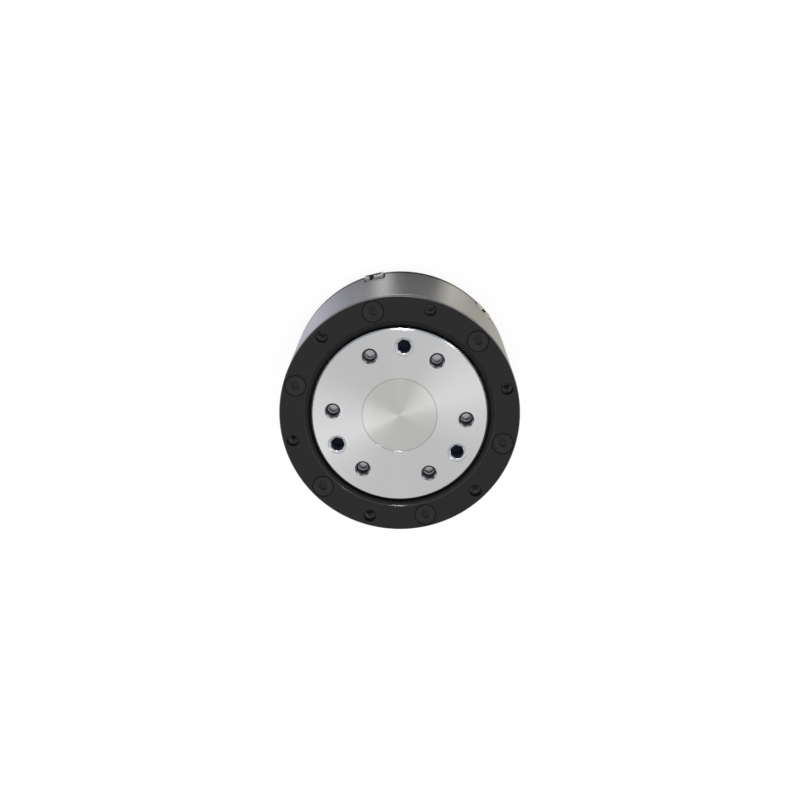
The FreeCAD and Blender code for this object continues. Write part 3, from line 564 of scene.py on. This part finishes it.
# floorGap is the radius that stays open in the middle of a hole's floor
outputDisc = {"radius": 33.1, "bevel": 0.65, "rear": 59, "hub": 29.98, "hubRear": 51.3,
              "boss": 28.3, "bossRear": 48.9, "capPocket": 14, "capDepth": 2,
              "boltCircle": 25, "boltRadius": 2.1, "boltMouth": 2.85, "boltDepth": 6,
              "dowelCircle": 26, "dowelRadius": 2.5, "dowelMouth": 3.4, "dowelDepth": 10, "dowelLand": 0.9,
              "threadPitch": 0.8, "threadDepth": 0.22, "threadEnd": 1.6, "threadRunout": 0.2,
              "edge": 0.12, "edgeDepth": 0.03, "floorGap": 0.02, "capEdge": 0.06,
              "chatter": 0.1, "ripples": 7, "ease": 0.1, "rearEase": 0.2}


def threadedHole(spec, front):
    # dark edge, painted as the sharp edge's dark reflection, mouth cone, a zigzag of thread crests in
    # painted shade, then a flat floor in lighter painted shade
    radius, mouth, pitch = spec["boltRadius"], spec["boltMouth"], spec["threadPitch"]
    root = radius + spec["threadDepth"]
    neck = front - (mouth - radius)
    wall = [(mouth + spec["edge"], front), (mouth, front - spec["edgeDepth"]),
            (root, neck, spec["chatter"])]
    for turn in range(int((spec["boltDepth"] - spec["threadEnd"]) / pitch)):
        wall.append((radius, neck - pitch * (turn + 0.5)))
        wall.append((root, neck - pitch * (turn + 1)))
    threads = len(wall)
    floor = front - spec["boltDepth"]
    wall += [(radius, wall[-1][1] - spec["threadRunout"]), (radius, floor), (spec["floorGap"], floor)]
    return {"distance": spec["boltCircle"], "wall": wall, "ripples": spec["ripples"],
            "skins": [(1, "edge"), (2, "mouth"), (threads, "thread"), (threads + 2, "bore")]}


def smoothHole(spec, front):
    # dark edge, painted as the sharp edge's dark reflection, mouth cone, a land in the thread's metal,
    # which is painted shade, then a deep wall and a flat floor in dark navy painted shade
    radius, mouth = spec["dowelRadius"], spec["dowelMouth"]
    neck = front - (mouth - radius)
    floor = front - spec["dowelDepth"]
    wall = [(mouth + spec["edge"], front), (mouth, front - spec["edgeDepth"]),
            (radius, neck, spec["chatter"] / 2), (radius, neck - spec["dowelLand"]), (radius, floor),
            (spec["floorGap"], floor)]
    return {"distance": spec["dowelCircle"], "wall": wall, "ripples": spec["ripples"],
            "skins": [(1, "edge"), (2, "mouth"), (3, "thread"), (5, "deep")]}


def makeOutputDisc():
    # a plate with three holes to each four sectors, closed by one turned profile behind it and a
    # pocket for the cap in its middle
    shell = Shell()
    front = body["discFront"]
    spec = outputDisc
    radius, bevel, rear = spec["radius"], spec["bevel"], spec["rear"]
    hub, hubRear, boss, bossRear = spec["hub"], spec["hubRear"], spec["boss"], spec["bossRear"]
    ease, rearEase = spec["ease"], spec["rearEase"]
    bolt = threadedHole(spec, front)
    dowel = smoothHole(spec, front)
    turn = body["outputTurn"]
    turns = evenTurns(turn - halfSector)
    pocketRadius, capEdge, pocketFloor = spec["capPocket"], spec["capEdge"], front - spec["capDepth"]
    plateFace(shell, pocketRadius + capEdge, radius - bevel, front, turn, [bolt, None, bolt, dowel], turns)
    angles = math.radians(turn - halfSector) + fullTurn(sectorCount * body["steps"])
    rim = eased([(radius - bevel, front, 0), (radius, front - bevel, ease),
                 (radius, rear, rearEase), (hub, rear, ease), (hub, hubRear, rearEase),
                 (boss, hubRear, ease), (boss, bossRear, rearEase), (0, bossRear, 0)])
    pocket = [(pocketRadius + capEdge, front), (pocketRadius, front - capEdge),
              (pocketRadius, pocketFloor), (0, pocketFloor)]
    # the bevel is the rim's first step, with a blue tint that is a painted reflection; the dark edge,
    # painted shade, goes on down to the first point by the rear
    wallEnd = next(place for place, point in enumerate(rim) if point[1] < (front + rear) / 2)
    shell.add(turnedGrid(rim[:2], angles), "bevel")
    shell.add(turnedGrid(rim[1:wallEnd + 1], angles), "edge")
    shell.add(turnedGrid(rim[wallEnd:], angles))
    # the cap's pocket wears the darker bore metal, painted shade
    shell.add(turnedGrid(pocket, angles), "bore")
    skins = {"main": finishes["turned_aluminium"], "bore": boreMetalPaintedShade, "deep": deepBorePaintedShade, "edge": edgeShade,
             "thread": threadPaintedShade, "mouth": mouthMetal, "bevel": bevelPaintedBlueReflection}
    return makePiece("outputDisc", shell, "output", skins,
                     replaced=["output_flange"])


makeOutputDisc()

outputCap = {"gap": 0.05, "edge": 0.08, "rearEdge": 0.05, "low": 0.02, "rearGap": 0.02}


def makeOutputCap():
    # a flat round plug in the disc's pocket
    shell = Shell()
    radius = outputDisc["capPocket"] - outputCap["gap"]
    front = body["discFront"] - outputCap["low"]
    rear = body["discFront"] - outputDisc["capDepth"] + outputCap["rearGap"]
    profile = eased([(0, front, 0), (radius, front, outputCap["edge"]),
                     (radius, rear, outputCap["rearEdge"]), (0, rear, 0)])
    shell.add(turnedGrid(profile, fullTurn(360)))
    return makePiece("outputCap", shell, "output", {"main": finishes["cap_metal"]},
                     replaced=["output_cap"])


makeOutputCap()
print("output disc and cap made")


# dust seal

# flat, grooveFoot and crest are how far outside the inner wall the face ends, the groove's floor
# lies and the lip's crest stands
dustSeal = {"inner": 33.9, "lipHeight": 0.7, "groove": 0.35, "foot": 0.6, "footHeight": 0.4,
            "flat": 0.75, "grooveFoot": 0.5, "crest": 0.2, "crestLow": 0.05, "edge": 0.1,
            "grooveEase": 0.12, "lipEase": 0.15, "footEase": 0.05, "steps": 288}


def makeDustSeal():
    # a flat band with a shallow groove and a thin lip towards the disc; its foot covers the bearing
    shell = Shell()
    spec = dustSeal
    outer, rear, front = body["sealRadius"], lowest("dust_seal"), highest("dust_seal")
    inner, edge, foot, footFront = spec["inner"], spec["edge"], spec["foot"], rear + spec["footHeight"]
    profile = eased([(outer, rear, 0), (outer, front, edge), (inner + spec["flat"], front, edge),
                     (inner + spec["grooveFoot"], front - spec["groove"], spec["grooveEase"]),
                     (inner + spec["crest"], front - spec["crestLow"], edge),
                     (inner, front - spec["lipHeight"], spec["lipEase"]), (inner, footFront, edge),
                     (inner - foot, footFront, spec["footEase"]), (inner - foot, rear, 0)])
    shell.add(turnedGrid(profile + profile[:1], fullTurn(spec["steps"])))
    return makePiece("dustSeal", shell, "housing", {"main": finishes["rubber_black"]},
                     replaced=["dust_seal"])


makeDustSeal()
print("dust seal made")


# housing

# portRoom is left on both sides of a connector; no even column lies nearer than portClear degrees
# to a cut-out's side; faces that stay cutMargin off the walls and the rear are the cut-outs' cuts
housing = {"motorBore": 40, "gearBore": 36, "wallRear": 31, "wallFront": 36.5, "bearingBore": 12,
           "edge": 0.25, "columns": 576, "tapped": 1.65, "tappedDepth": 9, "screwHole": 1.97,
           "screwDepth": 10, "holeEdge": 0.1, "floorGap": 0.02, "portRoom": 0.6, "portClear": 1.2,
           "sideGap": 1e-4, "cutMargin": 0.5, "frontSlack": 0.01}

# stand is how far a connector stands out of the wall, front the height of its cut-out's front side,
# latch the ends of its slot and legs the bends of its small strips
# skin is the outside's colour, for the signal port a dark copy of the cream plastic as painted shade
ports = {"signal": {"angle": 104.4, "width": 7.4, "height": 6, "stand": 1.3, "front": 15.0,
                    "skin": signalBodyPaintedShade, "plate": platePale, "latch": (-1.9, -0.1),
                    "legs": [[(1.9, 3.0), (2.2, 3.9), (1.8, 4.9)],
                             [(2.9, 3.0), (3.3, 3.8), (2.9, 4.6)]]},
         "power": {"angle": 43.1, "width": 7.4, "height": 4.2, "stand": 0.7, "front": 11.5,
                   "skin": finishes["cream_plastic"], "plate": finishes["cream_plastic"],
                   "latch": (-0.9, 0.9), "legs": []}}


def housingColumns():
    # columns round the housing as (angle, aside, port): even steps, and two columns at each side of a
    # port's cut-out, so that the cut-out's sides are straight
    columns = []
    room = housing["portRoom"]
    for step in range(housing["columns"]):
        angle = 360 / housing["columns"] * step
        inside = None
        near = False
        for port in ports.values():
            away = abs(angle - port["angle"])
            edge = math.degrees((port["width"] / 2 + room) / body["radius"])
            near = near or abs(away - edge) < housing["portClear"]
            if away < edge:
                inside = port
        if not near:
            columns.append((angle, 0.0, inside))
    for port in ports.values():
        half = port["width"] / 2 + room
        for side in (-1, 1):
            columns.append((port["angle"], side * half, port))
            columns.append((port["angle"], side * (half + housing["sideGap"]), None))
    return sorted(columns, key=lambda column: column[0] + math.degrees(column[1] / body["radius"]))


def makeHousing():
    # one profile turned round the axis; inside a port its rear edge moves forward. The front face
    # under the ring has the tapped holes
    shell = Shell()
    radius, rear, front = body["radius"], body["coverFront"], body["ringRear"]
    spec = housing
    levels = sorted(port["front"] for port in ports.values())
    outer = [(radius - spec["edge"], front), (radius, front - spec["edge"]), (radius, levels[-1]),
             (radius, levels[0]), (radius, rear + spec["edge"]), (radius - spec["edge"], rear)]
    inner = [(spec["motorBore"], rear), (spec["motorBore"], levels[0]),
             (spec["motorBore"], levels[-1]), (spec["motorBore"], spec["wallRear"]),
             (spec["bearingBore"], spec["wallRear"]), (spec["bearingBore"], spec["wallFront"]),
             (spec["gearBore"], spec["wallFront"]), (spec["gearBore"], front)]
    profile = np.array(outer + inner)
    columns = housingColumns()
    turn = np.radians([column[0] for column in columns])
    aside = np.array([column[1] for column in columns])
    floor = np.array([column[2]["front"] if column[2] else 0 for column in columns])
    r, z = profile[:, :1], profile[:, 1:]
    ported = z <= levels[-1]
    swing = turn + np.arcsin(aside / np.where(ported, r, radius))
    height = np.where(ported, np.maximum(z, floor), z)
    grid = np.stack([r * np.cos(swing), r * np.sin(swing), height], -1)
    shell.add(np.concatenate([grid, grid[:, :1]], 1))
    holes = []
    for distance, hole, depth in ((frontRing["mountCircle"], spec["tapped"], spec["tappedDepth"]),
                                  (frontRing["screwCircle"], spec["screwHole"], spec["screwDepth"])):
        wall = [(hole + spec["holeEdge"], front), (hole, front - spec["holeEdge"]),
                (hole, front - depth), (spec["floorGap"], front - depth)]
        # the face under the ring and the holes' edges are near-black painted shade; the tapped walls and
        # floors are bare metal
        holes.append({"distance": distance, "wall": wall, "skins": [(1, "dark"), (3, "tap")],
                      "faceSkin": "dark"})
    plateFace(shell, spec["gearBore"], radius - spec["edge"], front, frontRing["firstHole"],
              holes, swing[0])
    skins = {"main": finishes["anodised_grey"], "tap": tapMetal, "dark": paintedShadeDark}
    made = makePiece("housingShell", shell, "housing", skins, replaced=["housing"])
    # the cut-outs' cut faces, which lie between the bore and the outer wall, are dark, painted shade
    dark = list(skins).index("dark")
    margin = spec["cutMargin"]
    for face in made.data.polygons:
        reach = math.hypot(*face.center[:2]) / mm
        level = face.center.z / mm
        betweenWalls = spec["motorBore"] + margin < reach < radius - margin
        if betweenWalls and rear + margin < level < levels[-1] + spec["frontSlack"]:
            face.material_index = dark
    return made


makeHousing()
print("housing made")


# connectors

connector = {"depth": 10.5, "wall": 0.8, "socketDepth": 6, "latchDepth": 3.5, "corner": 0.35,
             "innerCorner": 0.08, "cornerPoints": 5, "soft": 0.12, "rear": 6.8, "plate": 0.7,
             "latchGap": 1e-4}


def roundedPath(width, height, corner, breaks):
    # a rectangle with round corners; its front side also has points at the `breaks`
    points = []
    for sx, sy, first in ((1, 1, 0), (-1, 1, 90), (-1, -1, 180), (1, -1, 270)):
        centre = np.array([sx * (width / 2 - corner), sy * (height / 2 - corner)])
        for angle in np.radians(first + np.linspace(0, 90, connector["cornerPoints"])):
            points.append(centre + corner * np.array([math.cos(angle), math.sin(angle)]))
        if (sx, sy) == (1, 1):
            points += [np.array([x, height / 2]) for x in breaks]
    return np.array(points + points[:1])


def onPort(port, path, depth):
    # points (across, along the axis) at a depth from the connector's inner end, put on the body
    turn = math.radians(port["angle"])
    radial = np.array([math.cos(turn), math.sin(turn), 0])
    across = np.array([-math.sin(turn), math.cos(turn), 0])
    start = body["radius"] + port["stand"] - connector["depth"]
    middle = np.array([0, 0, connector["rear"] + port["height"] / 2])
    depth = np.broadcast_to(np.asarray(depth, float), path.shape[:1])
    return ((start + depth)[:, None] * radial - path[:, :1] * across
            + path[:, 1:] * np.array([0, 0, 1]) + middle)


def makeConnector(name, port, nodeName):
    # a shell with a socket; the front wall has a latch slot, where the rim is lower. The band next to
    # the rim, the rim and the socket's wall wear the plate's skin
    spec = connector
    start, end = port["latch"]
    breaks = [end + spec["latchGap"], end, start, start - spec["latchGap"]]
    width, height, wall, soft = port["width"], port["height"], spec["wall"], spec["soft"]

    def path(inset):
        # the outline moved in by `inset`
        corner = max(spec["corner"] - inset, spec["innerCorner"])
        return roundedPath(width - 2 * inset, height - 2 * inset, corner, breaks)

    outline = path(0)
    slotted = (np.abs(outline[:, 0] - (start + end) / 2) <= (end - start) / 2 + tiny)
    slotted &= outline[:, 1] > height / 2 - tiny
    top = spec["depth"]
    lowered = np.where(slotted, top - spec["latchDepth"], top)
    socket = top - spec["socketDepth"]
    rim = np.minimum(top - soft, lowered)
    rows = [(outline * 0, 0), (path(soft), 0), (outline, soft),
            (outline, np.minimum(top - spec["plate"], lowered)), (outline, rim), (path(soft), lowered),
            (path(wall - soft), lowered), (path(wall), rim), (path(wall), socket), (outline * 0, socket)]
    shell = Shell()
    grid = np.stack([onPort(port, points, depth) for points, depth in rows])
    # the outside up to the band, then over the rim and down the socket's wall, then its floor. The socket
    # is near-black painted shade; the signal port's outside is painted shade as well
    shell.add(grid[:4])
    shell.add(grid[3:8], "plate")
    shell.add(grid[7:], "socket")
    for bends in port["legs"]:
        shell.add(bentLeg(port, bends), "legs")
    return makePiece(name, shell, "housing",
                     {"main": port["skin"], "plate": port["plate"], "socket": paintedShadeDark,
                      "legs": finishes["tin"]},
                     replaced=[nodeName])


legSize = {"thick": 0.32, "wide": 0.7, "depth": 9.3}


def bentLeg(port, bends):
    # a flat strip through the bends, given as (across, along the axis), with its width along the
    # depth: one loop at each bend, and a point at both ends
    corners = np.array([(-1, -1), (1, -1), (1, 1), (-1, 1), (-1, -1)])
    aside = corners * (legSize["thick"] / 2, 0)
    depth = legSize["depth"] + corners[:, 1] * legSize["wide"] / 2
    loops = [onPort(port, bend + aside, depth) for bend in bends]
    ends = [onPort(port, bend + 0 * aside, legSize["depth"]) for bend in (bends[0], bends[-1])]
    return np.stack([ends[0], *loops, ends[1]])


contacts = {"signal": {"count": 4, "width": 0.5, "pitch": 1.5},
            "power": {"count": 2, "width": 1.6, "pitch": 3}}
blade = {"thick": 0.6, "corner": 0.08, "short": 1.5, "taper": 0.5, "tipShare": 0.55}


def makeContacts(name, port, spec, nodeName):
    # flat blades side by side, whose tips stay short of the rim and taper to a share of the blade
    shell = Shell()
    base = connector["depth"] - connector["socketDepth"]
    tip = connector["depth"] - blade["short"]
    path = roundedPath(spec["width"], blade["thick"], blade["corner"], [])
    rows = [(path * 0, base), (path, base), (path, tip - blade["taper"]),
            (path * blade["tipShare"], tip), (path * 0, tip)]
    for index in range(spec["count"]):
        aside = np.array([(index - (spec["count"] - 1) / 2) * spec["pitch"], 0])
        shell.add(np.stack([onPort(port, points + aside, depth) for points, depth in rows]))
    return makePiece(name, shell, "housing", {"main": finishes["tin"]}, replaced=[nodeName])


makeConnector("signalConnector", ports["signal"], "signal_connector")
makeConnector("powerConnector", ports["power"], "power_connector")
makeContacts("signalContacts", ports["signal"], contacts["signal"], "signal_contacts")
makeContacts("powerContacts", ports["power"], contacts["power"], "power_contacts")
print("connectors made")


# cover screws

coverScrew = {"head": 2.28, "shank": 1.2, "length": 12, "sunk": 0.06, "edge": 0.1, "socket": 1.5,
              "entry": 1.0, "depth": 1.1, "circle": 42.5, "first": 72, "count": 4, "steps": 72,
              "turnEach": 0.4}


def makeCoverScrews():
    # the same screw turned over, on a circle in the rear cover
    shell = Shell()
    spec = coverScrew
    for index in range(spec["count"]):
        turn = math.radians(spec["first"] + 360 / spec["count"] * index)
        grid = screwGrid(spec, spec["turnEach"] * index) * np.array([1, -1, -1])
        place = spec["circle"] * np.array([math.cos(turn), math.sin(turn), 0])
        shell.add(grid + place + np.array([0, 0, spec["sunk"]]))
    return makePiece("coverScrews", shell, "housing", {"main": finishes["black_steel"]},
                     replaced=["rear_cover_screws"])


makeCoverScrews()
print("cover screws made")


# floor, light and camera

# The housing's wall is seen at a low angle, so it mirrors the floor beside it. What the floor gives
# back to mirrors is a painted reflection: a ring of cards that changes round the object and glows
# only in mirrors, given as (degrees from +X, colour)
paintedReflectionCards = [(-180, (0.58, 0.58, 0.62)), (20, (0.66, 0.62, 0.52)), (48, (0.52, 0.49, 0.42)),
         (62, (0.86, 0.81, 0.70)), (72, (0.05, 0.05, 0.05)), (88, (0.0, 0.0, 0.0)),
         (93, (0.12, 0.12, 0.13)), (101, (1.0, 1.0, 1.0)), (109, (0.24, 0.24, 0.26)),
         (122, (0.30, 0.30, 0.37)), (145, (0.78, 0.77, 0.92)), (180, (0.58, 0.58, 0.62))]
floorSpec = {"diffuse": 0.25, "glow": 0.80, "half": 3.0}


def paintedReflectionRing(tree):
    # the painted reflection's colour at a point of the floor, from its angle round the axis
    split = node(tree, "ShaderNodeSeparateXYZ")
    tree.links.new(objectPoint(tree), split.inputs[0])
    angle = node(tree, "ShaderNodeMath", operation="ARCTAN2")
    tree.links.new(split.outputs["Y"], angle.inputs[0])
    tree.links.new(split.outputs["X"], angle.inputs[1])
    share = node(tree, "ShaderNodeMapRange")
    share.inputs["From Min"].default_value = -math.pi
    share.inputs["From Max"].default_value = math.pi
    tree.links.new(angle.outputs[0], share.inputs["Value"])
    made = node(tree, "ShaderNodeValToRGB")
    stops = made.color_ramp.elements
    while len(stops) < len(paintedReflectionCards):
        stops.new(0.5)
    for stop, (degrees, colour) in zip(stops, paintedReflectionCards):
        stop.position = (degrees + 180) / 360
        stop.color = (*colour, 1)
    tree.links.new(share.outputs["Result"], made.inputs["Fac"])
    return made.outputs["Color"]


def makeFloor():
    # pale floor: most of its white is its own, and the rest is lit, so it keeps the object's shadow. In
    # mirrors it glows with the ring of painted reflection
    material, tree, shader = newMaterial("paleFloor")
    tree.nodes.remove(shader)
    diffuse = node(tree, "ShaderNodeBsdfDiffuse")
    diffuse.inputs["Color"].default_value = (floorSpec["diffuse"],) * 3 + (1,)
    path = node(tree, "ShaderNodeLightPath")
    glows = []
    for ray, colour in (("Is Camera Ray", None), ("Is Glossy Ray", paintedReflectionRing(tree))):
        glow = node(tree, "ShaderNodeEmission")
        strength = node(tree, "ShaderNodeMath", operation="MULTIPLY")
        strength.inputs[1].default_value = 1.0 if colour else floorSpec["glow"]
        tree.links.new(path.outputs[ray], strength.inputs[0])
        tree.links.new(strength.outputs[0], glow.inputs["Strength"])
        if colour:
            tree.links.new(colour, glow.inputs["Color"])
        glows.append(glow.outputs[0])
    total = diffuse.outputs[0]
    for glow in glows:
        both = node(tree, "ShaderNodeAddShader")
        tree.links.new(total, both.inputs[0])
        tree.links.new(glow, both.inputs[1])
        total = both.outputs[0]
    tree.links.new(total, tree.nodes["Material Output"].inputs["Surface"])
    mesh = bpy.data.meshes.new("floor")
    half = floorSpec["half"]
    mesh.from_pydata([(-half, -half, 0), (half, -half, 0), (half, half, 0), (-half, half, 0)], [],
                     [(0, 1, 2, 3)])
    mesh.materials.append(material)
    floor = bpy.data.objects.new("floor", mesh)
    scene.collection.objects.link(floor)


sky = {"low": 0.42, "high": 0.84, "highFrom": 0.5, "lowColour": (0.80, 0.88, 1.0)}


def makeWorld():
    # soft light from above that falls off to a dim blue at the horizon; seen directly it is white
    world = bpy.data.worlds.new("studio")
    world.use_nodes = True
    tree = world.node_tree
    scene.world = world
    background = tree.nodes["Background"]
    split = node(tree, "ShaderNodeSeparateXYZ")
    tree.links.new(node(tree, "ShaderNodeTexCoord").outputs["Generated"], split.inputs[0])
    rise = node(tree, "ShaderNodeMapRange", interpolation_type="SMOOTHSTEP")
    rise.inputs["From Max"].default_value = sky["highFrom"]
    tree.links.new(split.outputs["Z"], rise.inputs["Value"])
    level = spread(tree, rise.outputs["Result"], sky["low"], sky["high"])
    colour = ramp(tree, rise.outputs["Result"], 0, 1, sky["lowColour"], (1, 1, 1))
    path = node(tree, "ShaderNodeLightPath")
    seen = path.outputs["Is Camera Ray"]
    strength = node(tree, "ShaderNodeMath", operation="MAXIMUM")
    tree.links.new(level, strength.inputs[0])
    tree.links.new(seen, strength.inputs[1])
    white = node(tree, "ShaderNodeMix", data_type="RGBA")
    tree.links.new(seen, white.inputs["Factor"])
    tree.links.new(colour, white.inputs["A"])
    white.inputs["B"].default_value = (1, 1, 1, 1)
    tree.links.new(white.outputs["Result"], background.inputs["Color"])
    tree.links.new(strength.outputs[0], background.inputs["Strength"])


lamps = [
    {"name": "keyRight", "place": (0.56, 0.14, 0.84), "size": 0.55, "power": 1.4,
     "colour": (1.0, 0.99, 0.96)},
    {"name": "keyLeft", "place": (-0.59, -0.29, 0.78), "size": 0.55, "power": 1.4,
     "colour": (0.97, 0.99, 1.0)},
    {"name": "edgeTop", "place": (0.0, 0.58, 0.20), "size": 0.09, "power": 0.6,
     "colour": (1.0, 1.0, 1.0)},
    {"name": "edgeRight", "place": (0.40, 0.43, 0.18), "size": 0.06, "power": 0.2,
     "colour": (1.0, 0.98, 0.94)},
]


def makeLamps():
    # area lamps, all aimed at the middle of the front face
    for lamp in lamps:
        data = bpy.data.lights.new(lamp["name"], "AREA")
        data.size = lamp["size"]
        data.energy = lamp["power"]
        data.color = lamp["colour"]
        light = bpy.data.objects.new(lamp["name"], data)
        place = Vector(lamp["place"])
        light.location = place
        aim = Vector((0, 0, body["ringFront"] * mm)) - place
        light.rotation_euler = aim.to_track_quat("-Z", "Y").to_euler()
        scene.collection.objects.link(light)


# the camera looks down on the front face, a little from the rear edge's side
view = {"tilt": 13.67, "yaw": -0.465, "roll": -0.908, "distance": 0.50798, "right": -0.00015,
        "up": -0.0056, "lens": 61.24, "sensor": 36, "clipStart": 0.01}


def makeCamera():
    # turn the object by roll, yaw and tilt, shift it, and look at it from straight ahead
    turned = (Matrix.Rotation(math.radians(view["tilt"]), 3, "X")
              @ Matrix.Rotation(math.radians(view["yaw"]), 3, "Y")
              @ Matrix.Rotation(math.radians(view["roll"]), 3, "Z"))
    back = turned.transposed()
    place = back @ Vector((-view["right"], -view["up"], view["distance"]))
    place.z += body["ringFront"] * mm
    data = bpy.data.cameras.new("camera")
    data.lens = view["lens"]
    data.sensor_width = view["sensor"]
    data.clip_start = view["clipStart"]
    camera = bpy.data.objects.new("camera", data)
    camera.matrix_world = Matrix.Translation(place) @ back.to_4x4()
    scene.collection.objects.link(camera)
    scene.camera = camera


makeFloor()
makeWorld()
makeLamps()
makeCamera()
print("floor, light and camera made")
